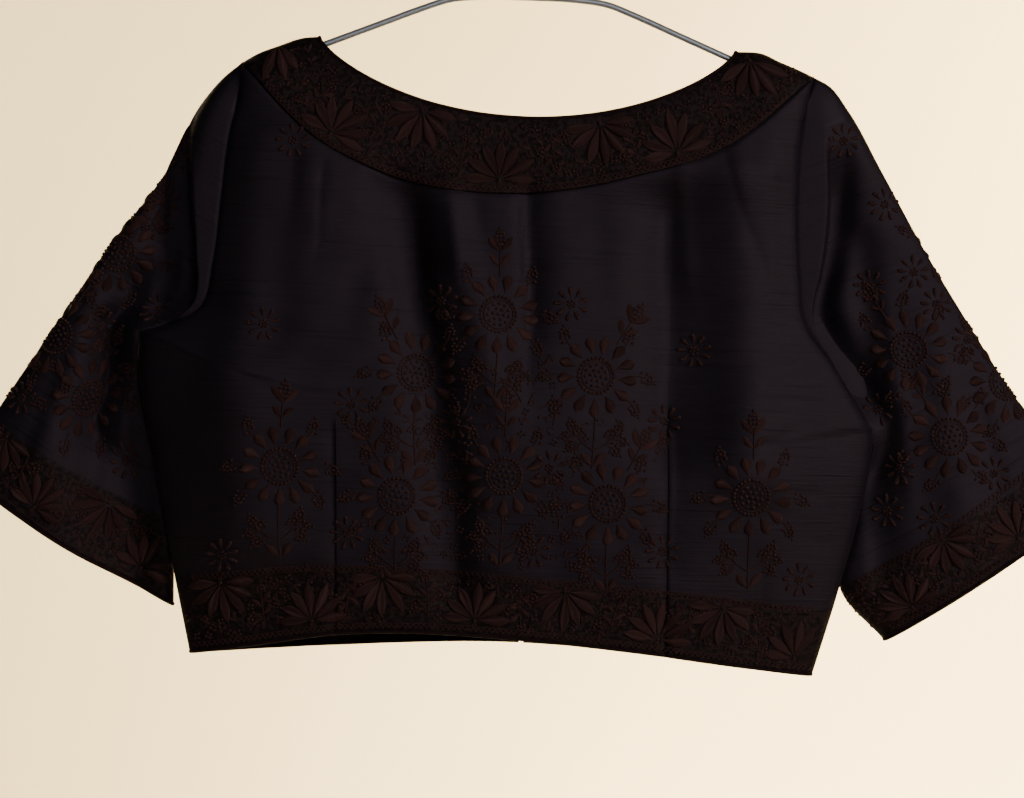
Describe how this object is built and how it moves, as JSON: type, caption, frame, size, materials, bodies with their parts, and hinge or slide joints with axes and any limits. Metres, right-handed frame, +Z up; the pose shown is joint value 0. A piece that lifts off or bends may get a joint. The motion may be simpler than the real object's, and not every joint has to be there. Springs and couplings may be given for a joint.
{
  "type": "choli blouse on a wire hanger",
  "caption": "Short boat-necked choli blouse with elbow sleeves, neckband and piped edges, hung on a bent wire hanger.",
  "frame": {"origin": "inside the top of the hanger's hook, where a rail carries it", "axes": "+X to the right of the shown side, from one sleeve to the other; +Y from the shown side to the hidden side; +Z up"},
  "size_m": [0.7195, 0.0696, 0.509],
  "materials": {
    "silk": "soft sheen, slubbed",
    "border_silk": "embroidered, soft sheen",
    "piping_silk": "soft sheen",
    "coated_wire": "satin coating"
  },
  "bodies": {
    "root": {"front_panel": "silk", "back_panel_left": "silk", "back_panel_right": "silk", "sleeve_left": "silk", "sleeve_right": "silk", "neckband_front": "border_silk", "neckband_back_left": "border_silk", "neckband_back_right": "border_silk", "neck_piping": "piping_silk", "hem_piping": "piping_silk", "cuff_piping_left": "piping_silk", "cuff_piping_right": "piping_silk", "hanger_frame": "coated_wire", "hanger_neck": "coated_wire", "hanger_hook": "coated_wire"}
  },
  "joints": []
}
